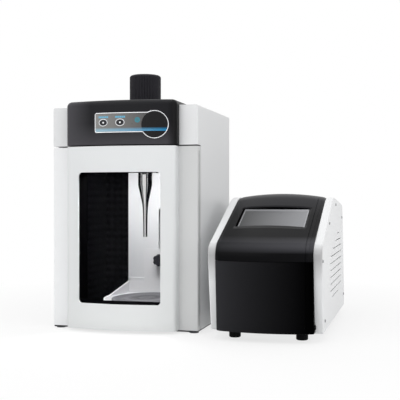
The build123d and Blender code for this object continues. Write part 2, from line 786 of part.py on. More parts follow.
def make_rocker():
    """A rocker on a short shaft across the switch well; one end stands proud at rest."""
    x = inlet_x()
    points = [(-7.5, -1.0), (-7.5, 1.5), (0, 3.0), (7.5, 4.5), (7.5, -1.0), (2, -5.0), (-2, -5.0)]
    sketch = make_face(Polyline(*[(cover_rear - 2 + b, rocker_z() + a) for a, b in points], close=True))
    return extrude(Plane.YZ.offset(x - 10.7) * sketch, 21.4)


def make_output_socket():
    x = generator_centre - fan_offset
    body = rod_y_axis(x, inlet_z, 8.0 - 0.05, cover_rear - 20, cover_rear)
    body += rod_y_axis(x, inlet_z, 12.0, cover_rear, cover_rear + 3)
    body += rod_y_axis(x, inlet_z, 9.0, cover_rear + 3, cover_rear + 12)
    return body - rod_y_axis(x, inlet_z, 6.5, cover_rear - 6, cover_rear + 13)


def make_fan_frame():
    x, y1 = generator_centre - fan_offset, cover_rear - sheet
    half = fan_size / 2
    frame = slab(x, fan_height, fan_size, fan_size, 4, y1 - fan_depth, y1)
    frame -= rod_y_axis(x, fan_height, half - 2.5, y1 - fan_depth - 1, y1 + 1)
    frame += rod_y_axis(x, fan_height, fan_hub_radius, y1 - 4, y1 - 1)
    for angle in (0, 90, 180, 270):
        arm = block(0, half - 1, y1 - 4, y1 - 1, -2, 2)
        frame += Pos(x, 0, fan_height) * Rot(0, angle, 0) * arm
    return frame + rod_y_axis(x, fan_height, fan_shaft_radius, y1 - fan_depth + 3, y1 - 3)


def make_fan_rotor():
    x, y1 = generator_centre - fan_offset, cover_rear - sheet
    front, back = y1 - fan_depth + 1, y1 - 5
    rotor = rod_y_axis(x, fan_height, fan_hub_radius, front, back)
    span = fan_size / 2 - 2.5 - 1.5 - fan_hub_radius
    blade = Pos(fan_hub_radius + span / 2 - 0.5, (front + back) / 2, 0) * Rot(35, 0, 0) * Box(span + 1, 15, 1.6)
    for i in range(7):
        rotor += Pos(x, 0, fan_height) * Rot(0, i * 360 / 7, 0) * blade
    return rotor - rod_y_axis(x, fan_height, fan_shaft_radius + running_clearance, front + 2, back + 1)


def make_transformer():
    x = cover_right - transformer_radius - 9
    core = rod_z(x, transformer_y, transformer_radius, tray_top, tray_top + transformer_height)
    core -= rod_z(x, transformer_y, 17, tray_top - 1, tray_top + transformer_height + 1)
    return fillet(core.edges(), 6.0)


def make_power_board():
    x0, x1, y0, y1 = cover_left + 16, generator_centre - 16, 60, 330
    board = block(x0, x1, y0, y1, tray_top + 10, tray_top + 12)
    for x in (x0 + 6, x1 - 6):
        for y in (y0 + 6, y1 - 6):
            board += rod_z(x, y, 3, tray_top, tray_top + 10)
    for i in range(7):
        fin = x0 + 10 + i * 9
        board += block(fin, fin + 2.5, y0 + 30, y0 + 120, tray_top + 12, tray_top + 50)
    board += block(x0 + 10, x0 + 66.5, y0 + 30, y0 + 120, tray_top + 12, tray_top + 18)
    for k in range(3):
        board += rod_z(x0 + 30, y0 + 160 + k * 34, 13, tray_top + 12, tray_top + 46)
    return board


def make_generator_foot(index):
    x = generator_centre + (foot_spread / 2 if index % 2 else -foot_spread / 2)
    y = front_foot_y if index < 2 else cover_rear - 30
    foot = rod_z(x, y, generator_foot_radius, 0, generator_foot_height)
    return fillet(foot.edges().sort_by(Axis.Z)[0], 3.0)


def all_parts():
    cover_outer, cover_inner = cover_loft(), cover_loft(cover_wall)
    parts = {
        "cabinet_shell": make_cabinet_shell(),
        "cabinet_back": make_cabinet_back(),
        "base_plate": make_base_plate(),
        "chamber_ceiling": make_chamber_ceiling(),
        "foam_left": make_foam_side(-1),
        "foam_right": make_foam_side(1),
        "foam_ceiling": make_foam_ceiling(),
        "hinge_pin_upper": make_hinge_pin(True),
        "hinge_pin_lower": make_hinge_pin(False),
        "door_magnet": make_door_magnet(),
        "door_frame": make_door_frame(),
        "door_panel": make_door_panel(),
        "door_liner": make_door_liner(),
        "window_pane": make_window_pane(),
        "window_gasket": make_window_gasket(),
        "hood": make_hood(),
        "hood_label": make_hood_label(),
        "button_bezels": make_button_bezels(),
        "control_board": make_control_board(),
        "converter_collar": make_converter_collar(),
        "converter_housing": make_converter_housing(),
        "front_mass": make_front_mass(),
        "piezo_stack": make_piezo_stack(),
        "back_mass": make_back_mass(),
        "horn": make_horn(),
        "fluted_cap": make_fluted_cap(),
        "guide_panel": make_guide_panel(),
        "rod_bracket_lower": make_rod_bracket(lower_bracket_z()),
        "rod_bracket_upper": make_rod_bracket(upper_bracket_z()),
        "carriage": make_carriage(),
        "stage": make_stage(),
        "stage_mat": make_stage_mat(),
        "clamp_knob": make_clamp_knob(),
        "generator_side_left": make_side_panel(-1),
        "generator_side_right": make_side_panel(1),
        "generator_cover": make_cover(cover_outer, cover_inner),
        "generator_front": make_front_panel(cover_outer, cover_inner),
        "generator_tray": make_tray(),
        "generator_rear": make_rear_panel(),
        "screen_glass": make_screen_glass(),
        "screen_module": make_screen_module(),
        "transformer": make_transformer(),
        "power_board": make_power_board(),
        "fan_frame": make_fan_frame(),
        "fan_rotor": make_fan_rotor(),
        "power_inlet": make_power_inlet(),
        "rocker_switch": make_rocker(),
        "output_socket": make_output_socket(),
    }
    for name, x in zip(("left", "right"), button_x):
        parts["button_" + name] = make_button(x)
    for name, x in zip(("left", "right"), rod_places()):
        parts["guide_rod_" + name] = make_guide_rod(x)
    for index, name in enumerate(("front_left", "front_right", "rear_left", "rear_right")):
        parts["cabinet_foot_" + name] = make_cabinet_foot(index)
        parts["generator_foot_" + name] = make_generator_foot(index)
    return parts


def key_points():
    """Places that the joints and mounts use, before the shift to the origin."""
    points = {
        "hinge": (hinge_x, hinge_y, door_bottom),
        "horn_axis": (horn_axis_x, horn_axis_y, hood_top),
        "stage_top": (horn_axis_x, mat_y, stage_height + mat_thickness),
        "clamp": (horn_axis_x, guide_panel_y, clamp_height),
        "fan": (generator_centre - fan_offset, cover_rear, fan_height),
        "rocker": (inlet_x(), cover_rear - 2, rocker_z()),
        "tip": (horn_axis_x, horn_axis_y, tip_height),
        "inlet": (inlet_x(), cover_rear + 2, inlet_z - 15.5),
        "output": (generator_centre - fan_offset, cover_rear + 12, inlet_z),
        "enclosure_origin": (0, 0, 0),
        "generator_origin": (generator_left, 0, 0),
    }
    for name, x in zip(("left", "right"), button_x):
        points["button_" + name] = hood_frame(x, button_z).origin
        points["button_axis_" + name] = hood_frame(x, button_z).z_dir
    return points


os.makedirs("parts", exist_ok=True)
parts = all_parts()
whole = Compound(children=[solid for part in parts.values() for solid in part.solids()]).bounding_box()
centre_x, centre_y = (whole.min.X + whole.max.X) / 2, (whole.min.Y + whole.max.Y) / 2
for name, part in parts.items():
    export_step(Pos(-centre_x, -centre_y, -whole.min.Z) * part, os.path.join("parts", name + ".step"))
print("shift", -centre_x, -centre_y, -whole.min.Z)
for name, point in key_points().items():
    print("point", name, *[round(value, 4) for value in point])
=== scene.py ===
# %% [markdown]
# A probe sonicator breaks up samples with ultrasound. This set has two bench units: a white sound
# enclosure, in which a polished horn hangs over a sample stage, and a black and white generator
# that feeds it. The solid model is loaded first as a fixed frame. It could be dressed by hand in
# the viewport, but a script places every piece from the frame's own sizes, so nothing drifts.

# %% Load the frame
import bpy
import bmesh
import numpy as np
from math import radians
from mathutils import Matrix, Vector


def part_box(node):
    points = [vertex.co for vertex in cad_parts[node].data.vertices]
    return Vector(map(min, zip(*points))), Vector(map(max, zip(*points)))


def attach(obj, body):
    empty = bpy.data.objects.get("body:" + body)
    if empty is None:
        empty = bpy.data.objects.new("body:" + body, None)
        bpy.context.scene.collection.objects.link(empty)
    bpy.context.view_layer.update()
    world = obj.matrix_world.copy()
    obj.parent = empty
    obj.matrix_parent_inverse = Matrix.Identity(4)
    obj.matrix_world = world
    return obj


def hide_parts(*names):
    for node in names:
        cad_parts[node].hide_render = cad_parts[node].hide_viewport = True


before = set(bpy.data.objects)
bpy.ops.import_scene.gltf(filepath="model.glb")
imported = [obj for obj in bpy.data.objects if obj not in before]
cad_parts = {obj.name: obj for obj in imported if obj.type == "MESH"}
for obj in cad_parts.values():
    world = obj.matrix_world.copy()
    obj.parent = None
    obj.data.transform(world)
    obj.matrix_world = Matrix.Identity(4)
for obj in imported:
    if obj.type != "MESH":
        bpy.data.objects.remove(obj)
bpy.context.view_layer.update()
MM = 0.001


def corners(node):
    """Lowest and highest corner of a node as arrays."""
    low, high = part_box(node)
    return np.array(low, float), np.array(high, float)


enclosure_low, enclosure_high = corners("cabinet_shell")
corner = np.array([enclosure_low[0], enclosure_low[1], 0.0])

# %% [markdown]
# The photograph was taken with a long lens from the right of the set, at a little over half the
# enclosure's height. A camera could be aimed by eye. Here its place was worked out from the
# cabinet's edges, and is written from the enclosure's lower left front corner, so it follows
# the model.

# %% Camera
camera_place = np.array([837.4, -1813.3, 312.3]) * MM
camera_yaw, camera_pitch = 14.78, -0.28
camera = bpy.data.objects.new("camera", bpy.data.cameras.new("camera"))
camera.data.lens = 74.63
camera.data.sensor_width = 36.0
camera.location = corner + camera_place
camera.rotation_euler = (radians(90 + camera_pitch), 0, radians(camera_yaw))
bpy.context.collection.objects.link(camera)
bpy.context.scene.camera = camera

# %% [markdown]
# Shader maths reads best as ordinary formulas. Nodes could be placed one by one, but a small
# class that wraps a socket lets `1 - mask` add the Math node by itself, and one method makes
# every other node from its type, its settings and its inputs.

# %% Shader helpers
class Value:
    """A socket in a formula: each operator adds one Math node."""

    def __init__(self, shade, socket):
        self.shade, self.socket = shade, socket

    def combine(self, operation, other, swap=False):
        pair = [other, self] if swap else [self, other]
        return self.shade.node("ShaderNodeMath", {"operation": operation}, dict(enumerate(pair)))

    def __add__(self, other):
        return self.combine("ADD", other)

    def __sub__(self, other):
        return self.combine("SUBTRACT", other)

    def __rsub__(self, other):
        return self.combine("SUBTRACT", other, swap=True)

    def __mul__(self, other):
        return self.combine("MULTIPLY", other)

    def __truediv__(self, other):
        return self.combine("DIVIDE", other)

    __radd__, __rmul__ = __add__, __mul__

    def below(self, limit):
        return self.combine("LESS_THAN", limit)

    def power(self, exponent):
        return self.combine("POWER", exponent)


class Shade:
    """One material being built; `shader` is its Principled BSDF."""

    def __init__(self, name, **constants):
        self.material = bpy.data.materials.new(name)
        self.material.use_nodes = True
        self.tree = self.material.node_tree
        self.shader = self.tree.nodes["Principled BSDF"]
        for socket, value in constants.items():
            self.put(self.shader.inputs[socket.replace("_", " ")], value)

    def put(self, socket, value):
        if isinstance(value, Value):
            self.tree.links.new(value.socket, socket)
        elif isinstance(value, (tuple, list)) and socket.type == "RGBA" and len(value) == 3:
            socket.default_value = (*value, 1.0)
        else:
            socket.default_value = value

    def node(self, kind, settings=None, inputs=None, output=0):
        node = self.tree.nodes.new(kind)
        for key, value in (settings or {}).items():
            setattr(node, key, value)
        for key, value in (inputs or {}).items():
            self.put(node.inputs[key], value)
        return Value(self, node.outputs[output])

    def place(self, scale=(1, 1, 1), shift=(0, 0, 0)):
        where = self.node("ShaderNodeTexCoord", output="Object")
        return self.node("ShaderNodeMapping", {}, {"Vector": where, "Scale": scale, "Location": shift})

    def noise(self, size, detail=3.0, stretch=(1, 1, 1)):
        """Noise with features of the given size in metres."""
        inputs = {"Vector": self.place(stretch), "Scale": 1 / size, "Detail": detail}
        return self.node("ShaderNodeTexNoise", {}, inputs)

    def axes(self):
        """Object coordinates in millimetres from the enclosure's lower left front corner."""
        shift = tuple(float(-v * 1000) for v in corner)
        where = self.place((1000, 1000, 1000), shift)
        split = self.tree.nodes.new("ShaderNodeSeparateXYZ")
        self.put(split.inputs[0], where)
        return [Value(self, out) for out in split.outputs]

    def blend(self, mask, first, second):
        """First where the mask is 0, second where it is 1; the numbers are the Mix node's colour sockets."""
        return self.node("ShaderNodeMix", {"data_type": "RGBA"}, {0: mask, 6: first, 7: second}, output=2)

    def sine(self, angle):
        return self.node("ShaderNodeMath", {"operation": "SINE"}, {0: angle})

    def bump(self, height, depth, strength=1.0):
        """Height 0 to 1 raised by depth metres, on the shader's normal."""
        node = self.node("ShaderNodeBump", {}, {"Height": height, "Distance": depth, "Strength": strength})
        self.put(self.shader.inputs["Normal"], node)

    def set(self, socket, value):
        self.put(self.shader.inputs[socket], value)
        return self


def linear(*values):
    """A screen colour from 0 to 255 as the linear colour that a shader takes."""
    values = np.array(values) / 255
    curve = np.where(values > 0.04045, ((values + 0.055) / 1.055) ** 2.4, values / 12.92)
    return tuple(float(v) for v in curve)


# %% [markdown]
# Most of the set is painted sheet or moulded plastic. A flat colour would look like clay, so the
# plain finishes share one recipe: a slow change of tone, a small change of roughness, and a fine
# surface texture such as orange peel on paint or sparks on a moulding.

# %% Plain finishes
def finish(name, colour, roughness, metallic=0.0, grain=0.0008, depth=0.00001, tone=0.04, coat=0.0,
           stretch=(1, 1, 1), ior=1.5):
    """Base colour with a slow tone change, roughness that wanders, and a fine bump."""
    shade = Shade(name, Metallic=metallic, Coat_Weight=coat, Coat_Roughness=0.08, IOR=ior)
    slow = shade.noise(0.12, 2.0)
    fine = shade.noise(grain, 2.0, stretch)
    dark = tuple(c * (1 - tone) for c in colour)
    shade.set("Base Color", shade.blend(slow, dark, colour))
    shade.set("Roughness", roughness * 0.9 + fine * (roughness * 0.2))
    shade.bump(fine, depth)
    return shade.material


white_paint = finish("white_paint", linear(226, 227, 228), 0.38, grain=0.0016, depth=0.000012, tone=0.02)
rim_white = finish("rim_white", linear(252, 252, 253), 0.3, grain=0.0012, tone=0.01)
stage_paint = finish("stage_paint", linear(212, 212, 214), 0.42, grain=0.0014, tone=0.04)
back_paint = finish("back_paint", linear(196, 198, 200), 0.45, grain=0.0016)
dark_paint = finish("dark_paint", linear(46, 47, 50), 0.5, grain=0.0012, ior=1.3)
guide_paint = finish("guide_paint", linear(208, 209, 211), 0.42, grain=0.0014, tone=0.03)
knob_plastic = finish("knob_plastic", linear(44, 43, 48), 0.38, grain=0.0006, depth=0.00002, tone=0.10,
                      ior=1.18)
well_black = finish("well_black", linear(3, 3, 4), 0.7, tone=0.2, ior=1.03)
rubber_black = finish("rubber_black", linear(18, 18, 19), 0.75, grain=0.0005, depth=0.00003, tone=0.2,
                      ior=1.2)
rubber_grey = finish("rubber_grey", linear(96, 97, 100), 0.7, grain=0.0005, depth=0.00002, ior=1.3)
steel = finish("steel", linear(190, 191, 193), 0.28, 1.0, grain=0.0006, depth=0.000006,
               stretch=(1, 1, 0.04))
pin_steel = finish("pin_steel", linear(200, 200, 202), 0.18, 1.0, grain=0.0004, depth=0.000003,
                   stretch=(1, 1, 0.05))
screw_steel = finish("screw_steel", linear(104, 105, 108), 0.35, 0.8, grain=0.0005, depth=0.000008,
                     ior=1.3)
chrome = finish("chrome", linear(225, 226, 229), 0.10, 1.0, grain=0.002, depth=0.000002)
alloy = finish("alloy", linear(205, 206, 208), 0.34, 1.0, grain=0.0005, depth=0.000006)
magnet_iron = finish("magnet_iron", linear(70, 70, 74), 0.45, 0.9, grain=0.001)
disc_ceramic = finish("disc_ceramic", linear(205, 198, 180), 0.55, grain=0.0008)
board_lacquer = finish("board_lacquer", linear(28, 92, 58), 0.35, grain=0.003, coat=0.4)
copper_winding = finish("copper_winding", linear(184, 112, 58), 0.35, 0.8, grain=0.0012, depth=0.00012,
                        stretch=(1, 1, 0.03))
case_plastic = finish("case_plastic", linear(34, 35, 38), 0.55, grain=0.0008, depth=0.00002, ior=1.3)

# %% [markdown]
# Large plain faces change tone over their length, from the lamp's side to the far side and where
# they turn away. Lamps alone could be tuned until this fits, but each one moves every face at
# A second recipe paints this light and shade into the base colour instead, as a slow drift along one axis.

# %% Finishes with painted light and shade
X, Z = 0, 2


def painted_light_drift(name, axis, low, high, first, last, roughness=0.32, ior=1.5, power=1.0):
    """Painted light and shade: base colour that goes from first to last along one axis, between two places
    in millimetres.
    """
    shade = Shade(name, IOR=ior)
    share = (shade.axes()[axis] - low) / (high - low)
    fine = shade.noise(0.0014, 2.0)
    shade.set("Base Color", shade.blend(share if power == 1.0 else share.power(power), first, last))
    shade.set("Roughness", roughness + fine * 0.08)
    shade.bump(fine, 0.00001)
    return shade


# Painted shade: the door frame darkens towards the right, the door panel towards the bottom.
door_paint_painted_shade = painted_light_drift("door_paint_painted_shade", X, 40, 330, linear(238, 239, 240), linear(205, 206, 206)).material
door_plastic_painted_shade = painted_light_drift("door_plastic_painted_shade", Z, 20, 420, linear(214, 216, 216), linear(224, 226, 227)).material
# Painted reflection: the lower front is paler at the left and fades to black at the right.
front_black_painted_reflection = painted_light_drift("front_black_painted_reflection", X, 412, 620, linear(54, 54, 57), linear(0, 0, 0),
                    roughness=0.3, ior=1.04, power=0.5).material


def cover_finish():
    """Black gloss with a painted highlight along the rounded knee and a painted reflection on the paler top.
    """
    shade = Shade("cover_black_painted_highlight", IOR=1.13)
    x, y, z = shade.axes()
    # Painted reflection: the top is paler than the slope below it.
    tone = shade.blend((z - 270) / 30, linear(10, 10, 12), linear(38, 38, 41))
    # Painted highlight: a band along the knee, stronger towards the right.
    knee_highlight = (1 - ((z - 208) / 17).power(2.0)) * (0.3 + (x - 412) / 300)
    shade.set("Base Color", shade.blend(knee_highlight, tone, linear(66, 66, 70)))
    shade.set("Roughness", 0.28 + shade.noise(0.004) * 0.05)
    shade.bump(shade.noise(0.004), 0.000004)
    return shade.material


def hood_finish():
    """Moulded black with a fine grain and painted light: paler low down and at the left, painted shade at
    the right edge.
    """
    shade = Shade("hood_plastic_painted_light", IOR=1.2)
    x, y, z = shade.axes()
    grain = shade.noise(0.0007, 2.0)
    # Painted light and shade: paler low down and at the left edge, dark at the right edge where the face
    # turns away.
    tone = shade.blend((z - 428) / 50, linear(70, 69, 73), linear(29, 29, 32))
    tone = shade.blend((110 - x) / 60, tone, linear(76, 75, 79))
    tone = shade.blend((x - 290) / 16, tone, linear(6, 6, 8))
    shade.set("Base Color", shade.blend(grain * 0.2, tone, linear(20, 20, 22)))
    shade.set("Roughness", 0.33 + grain * 0.07)
    shade.bump(grain, 0.000016)
    return shade.material


def side_finish():
    """White moulding with a painted shade: greyer along the front rim where the panel bends at the knee."""
    shade = Shade("side_plastic_painted_shade")
    x, y, z = shade.axes()
    fine = shade.noise(0.0012, 2.0)
    # Painted shade: grey on the front rim around the knee.
    knee_shade = shade.blend(1 - ((z - 205) / 80).power(2.0), linear(230, 231, 232), linear(160, 160, 161))
    shade.set("Base Color", shade.blend((-52 - y) / 22, linear(230, 231, 232), knee_shade))
    shade.set("Roughness", 0.30 + fine * 0.06)
    shade.bump(fine, 0.000008)
    return shade.material


cover_black_painted_highlight = cover_finish()
hood_plastic_painted_light = hood_finish()
side_plastic_painted_shade = side_finish()

# %% [markdown]
# A few surfaces carry a pattern of their own. The horn is turned and mirror-polished, so it has
# very fine rings. The mat has moulded rings. The foam swallows light, and the pane is almost
# clear. Each pattern reads Object coordinates, so it stays put on the piece.

# %% Horn, mat, foam and pane
def horn_finish():
    shade = Shade("horn_polish", Metallic=1.0)
    x, y, z = shade.axes()
    rings = shade.sine(z * 14.0)
    shade.set("Base Color", shade.blend(shade.noise(0.03), linear(214, 213, 212), linear(232, 232, 233)))
    shade.set("Roughness", 0.045 + shade.noise(0.002, stretch=(1, 1, 6)) * 0.05)
    shade.bump(rings, 0.0000015)
    return shade.material


def mat_finish(centre_x, centre_y, stretch):
    """Rubber with fine oval rings about the mat's centre, darker towards the middle."""
    shade = Shade("mat_rubber", IOR=1.35)
    x, y, z = shade.axes()
    reach = ((x - centre_x).power(2.0) + ((y - centre_y) / stretch).power(2.0)).power(0.5)
    rings = shade.sine(reach * 1.9)
    speckle = shade.noise(0.0015)
    band = shade.sine(reach * 0.16) * 0.25 + reach / 84.0
    tone = shade.blend(band, linear(76, 76, 79), linear(124, 124, 128))
    shade.set("Base Color", shade.blend(speckle * 0.3, tone, linear(96, 96, 100)))
    shade.set("Roughness", 0.55 + speckle * 0.2)
    shade.bump(rings * 0.5 + speckle * 0.3, 0.0005)
    return shade.material


def foam_finish():
    shade = Shade("foam", IOR=1.05)
    cells = shade.noise(0.0011, 5.0)
    shade.set("Base Color", shade.blend(cells, linear(1, 1, 2), linear(7, 7, 9)))
    shade.set("Roughness", 0.92 + cells * 0.08)
    shade.bump(cells, 0.0006)
    return shade.material


def pane_finish():
    shade = Shade("pane_clear", IOR=1.3, Alpha=0.02)
    smear = shade.noise(0.05)
    shade.set("Base Color", shade.blend(smear, (0.10, 0.11, 0.12), (0.16, 0.17, 0.18)))
    shade.set("Roughness", 0.03 + smear * 0.04)
    return shade.material


horn_polish = horn_finish()
mat_rubber = mat_finish(177.0, 165.0, 110.0 / 84.0)
foam_black = foam_finish()
pane_clear = pane_finish()

# %% [markdown]
# The label fades from grey to black towards its disc, and the screen from dark to light. Both
# could be pictures, but plain formulas of the place stay sharp at any size: a distance makes a
# disc, and two limits make a band.

# %% Label, keys and screen
label_left, label_right = 122.0, 293.2
disc_x, disc_z = 262.4, 473.5
stripe_low, stripe_high = 459.0, 467.0
key_places = (142.7, 183.4)
key_height = 479.0


def between(value, low, high):
    """1 inside the range, 0 outside it."""
    return (value.below(high)) * (1 - value.below(low))


def reach_from(x, z, place, height):
    return ((x - place).power(2.0) + (z - height).power(2.0)).power(0.5)


def label_finish():
    """Grey print that fades to a black disc, a glowing blue line, and plain marks by the keys."""
    shade = Shade("label_print", IOR=1.3)
    x, y, z = shade.axes()
    along = (x - label_left) / (label_right - label_left)
    print_tone = shade.blend(along, linear(138, 137, 135), linear(44, 45, 48))
    disc = reach_from(x, z, disc_x, disc_z).below(29.6)
    print_tone = shade.blend(disc, print_tone, linear(12, 12, 14))
    fade = ((stripe_high - z) / (stripe_high - stripe_low)).power(0.7)
    stripe = between(z, stripe_low, stripe_high) * fade
    blue = shade.blend(along, linear(158, 198, 216), linear(2, 132, 186))
    tone = shade.blend(stripe, print_tone, blue)
    for place in key_places:
        dashes = shade.sine((x - place) * 1.45)
        mark = between(z, key_height + 10.4, key_height + 14.6) * between(x, place - 12.0, place + 12.0)
        tone = shade.blend(mark * (0.75 + dashes * 0.25), tone, linear(104, 182, 214))
    petal = reach_from(x, z, 223.7, 484.0)
    tone = shade.blend(petal.below(6.2) - between(petal, 2.0, 3.2) * 0.6, tone, linear(62, 132, 146))
    shade.set("Base Color", tone)
    shade.set("Roughness", 0.25 + shade.noise(0.01) * 0.06)
    shade.bump(shade.noise(0.0006), 0.000006)
    return shade.material


def key_finish():
    """Dark domed key with a pale dot in its middle."""
    shade = Shade("key_print", IOR=1.3)
    x, y, z = shade.axes()
    tone = shade.blend(shade.noise(0.002), linear(30, 31, 34), linear(42, 43, 47))
    for place in key_places:
        tone = shade.blend(reach_from(x, z, place, key_height).below(2.1), tone, linear(235, 236, 238))
    shade.set("Base Color", tone)
    shade.set("Roughness", 0.28 + shade.noise(0.004) * 0.06)
    return shade.material


def screen_finish(left, right, low, high):
    """Grey glass that brightens to the right, with a paler line just inside its edge."""
    shade = Shade("screen_glass", IOR=1.25)
    x, y, z = shade.axes()
    along = (x - left) / (right - left)
    tone = shade.blend(along, linear(52, 53, 54), linear(138, 139, 142))
    edge = 1 - between(x, left + 3.0, right - 3.0) * between(z, low + 2.0, high - 2.0)
    tone = shade.blend(edge * 0.3, tone, linear(205, 206, 210))
    shade.set("Base Color", tone)
    shade.set("Roughness", 0.26 + shade.noise(0.02) * 0.05)
    return shade.material


label_print = label_finish()
key_print = key_finish()

# %% [markdown]
# Each solid of the frame keeps its shape and gets a finish. One line per solid would be long, so
# the table below lists the solids that share each finish.

# %% Dress the frame's own solids
node_finish = {
    white_paint: ["cabinet_shell"],
    door_paint_painted_shade: ["door_frame"],
    door_plastic_painted_shade: ["door_panel"],
    back_paint: ["cabinet_back"],
    dark_paint: ["base_plate", "chamber_ceiling", "generator_rear"],
    guide_paint: ["guide_panel"],
    stage_paint: ["stage"],
    side_plastic_painted_shade: ["generator_side_left", "generator_side_right"],
    foam_black: ["foam_left", "foam_right", "foam_ceiling"],
    hood_plastic_painted_light: ["hood"],
    label_print: ["hood_label"],
    key_print: ["button_left", "button_right"],
    chrome: ["button_bezels"],
    pane_clear: ["window_pane"],
    well_black: ["window_gasket"],
    magnet_iron: ["door_magnet"],
    pin_steel: ["hinge_pin_upper", "hinge_pin_lower", "guide_rod_left", "guide_rod_right"],
    steel: ["door_liner", "back_mass", "generator_tray", "output_socket"],
    horn_polish: ["horn"],
    alloy: ["converter_collar", "converter_housing", "front_mass", "carriage",
            "rod_bracket_lower", "rod_bracket_upper"],
    disc_ceramic: ["piezo_stack"],
    knob_plastic: ["fluted_cap", "clamp_knob", "rocker_switch"],
    mat_rubber: ["stage_mat"],
    cover_black_painted_highlight: ["generator_cover", "generator_front"],
    board_lacquer: ["control_board", "power_board"],
    copper_winding: ["transformer"],
    case_plastic: ["screen_module", "fan_frame", "fan_rotor", "power_inlet"],
    rubber_grey: [],
    rubber_black: [],
}
for place in ("front_left", "front_right", "rear_left", "rear_right"):
    node_finish[rubber_grey].append("cabinet_foot_" + place)
    node_finish[rubber_black].append("generator_foot_" + place)


def dress(obj, material):
    obj.data.materials.clear()
    obj.data.materials.append(material)


for material, names in node_finish.items():
    for name in names:
        dress(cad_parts[name], material)

glass_low, glass_high = (v * 1000 for v in corners("screen_glass"))
lap, lap_low, lap_high = 4.0, 2, 3
screen_edges = (glass_low[0] - corner[0] * 1000 + lap, glass_high[0] - corner[0] * 1000 - lap,
                glass_low[2] + lap_low, glass_high[2] - lap_high)
screen_glass = screen_finish(*(float(v) for v in screen_edges))
dress(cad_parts["screen_glass"], screen_glass)
print("dressed", sum(len(names) for names in node_finish.values()) + 1, "solids")

# %% [markdown]
# New pieces are surfaces worked out on a grid. A mesh could be pushed about vertex by vertex, but
# a grid of points computed as whole arrays keeps each shape's formula in one place. `surface`
# turns the grid into quads, and `keep` puts the piece on its body, with a finish.

# %% Surface helpers
def surface(name, points, wrap_u=False, wrap_v=False):
    """Mesh of a grid of points (rows, columns, xyz), one quad per cell, with doubles merged."""
    rows, columns = points.shape[:2]
    index = np.arange(rows * columns).reshape(rows, columns)
    if wrap_u:
        index = np.vstack([index, index[:1]])
    if wrap_v:
        index = np.hstack([index, index[:, :1]])
    quads = np.stack([index[:-1, :-1], index[1:, :-1], index[1:, 1:], index[:-1, 1:]], axis=-1)
    mesh = bpy.data.meshes.new(name)
    mesh.from_pydata(points.reshape(-1, 3).tolist(), [], quads.reshape(-1, 4).tolist())
    work = bmesh.new()
    work.from_mesh(mesh)
    bmesh.ops.remove_doubles(work, verts=work.verts, dist=1e-6)
    bmesh.ops.recalc_face_normals(work, faces=work.faces)
    work.to_mesh(mesh)
    work.free()
    mesh.shade_smooth()
    obj = bpy.data.objects.new(name, mesh)
    bpy.context.collection.objects.link(obj)
    return obj


def keep(obj, body, material, slot, *replaced):
    """Finish a piece: its material, the body it rides on and the solids it stands for; slot is not used."""
    dress(obj, material)
    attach(obj, body)
    if replaced:
        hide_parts(*replaced)
    print(f"{obj.name}: on {body}, finish {material.name}")
    return obj


def harden(obj, angle=35.0):
    """Smooth shading that breaks at edges sharper than the angle."""
    obj.data.set_sharp_from_angle(angle=radians(angle))
    return obj


def thicken(obj, wall):
    """A wall of the given thickness, inwards from the surface."""
    solid = obj.modifiers.new("wall", "SOLIDIFY")
    solid.thickness, solid.offset = wall, -1.0
    return obj


def at(x, y, z):
    """Millimetres from the enclosure's lower left front corner, as metres in the frame."""
    return np.stack(np.broadcast_arrays(x, y, z), axis=-1) * MM + corner


def revolve(name, radius, height, centre, steps=96, ribs=0, rib_depth=0.0, rib_mask=None):
    """Profile (radius, height) turned about Z; ribs take a cosine of the angle off the radius."""
    turn = np.linspace(0, 2 * np.pi, steps, endpoint=False)[None, :]
    mask = np.zeros_like(radius) if rib_mask is None else rib_mask
    wave = (0.5 - 0.5 * np.cos(turn * ribs)) ** 2
    reach = radius[:, None] - mask[:, None] * rib_depth * wave
    return surface(name, at(centre[0] + reach * np.cos(turn), centre[1] + reach * np.sin(turn),
                            height[:, None] + 0 * turn), wrap_v=True)


def arc(centre, radius, start, end, count=10):
    """Points on an arc in a plane; angles in degrees."""
    turn = np.radians(np.linspace(start, end, count))
    return np.stack([centre[0] + radius * np.cos(turn), centre[1] + radius * np.sin(turn)], axis=-1)


def tube(name, path, radius, closed=False, sides=12):
    """A round bead along a path: circles square to the path's direction."""
    ahead = np.roll(path, -1, axis=0) - np.roll(path, 1, axis=0)
    if not closed:
        ahead[0], ahead[-1] = path[1] - path[0], path[-1] - path[-2]
    ahead /= np.linalg.norm(ahead, axis=1, keepdims=True)
    side = np.cross(ahead, [0.02, -1.0, 0.03])
    side /= np.linalg.norm(side, axis=1, keepdims=True)
    rise = np.cross(side, ahead)
    turn = np.linspace(0, 2 * np.pi, sides, endpoint=False)[None, :, None]
    ring = path[:, None] + radius * (np.cos(turn) * side[:, None] + np.sin(turn) * rise[:, None])
    return surface(name, ring, wrap_u=closed, wrap_v=True)


# %% [markdown]
# The fluted cap is the part a hand turns. Its ribs could be separate bars, but they are moulded
# in one with the wall, so one revolved surface carries them: the radius dips with a cosine of
# the angle, only between the plain band at the foot and the rounded top edge.

# %% Fluted cap
horn_x, horn_y = 177.0, 155.0
cap_low, cap_high = corners("fluted_cap")
cap_radius = (cap_high[0] - cap_low[0]) / 2 / MM
cap_foot, cap_top = cap_low[2] / MM, cap_high[2] / MM


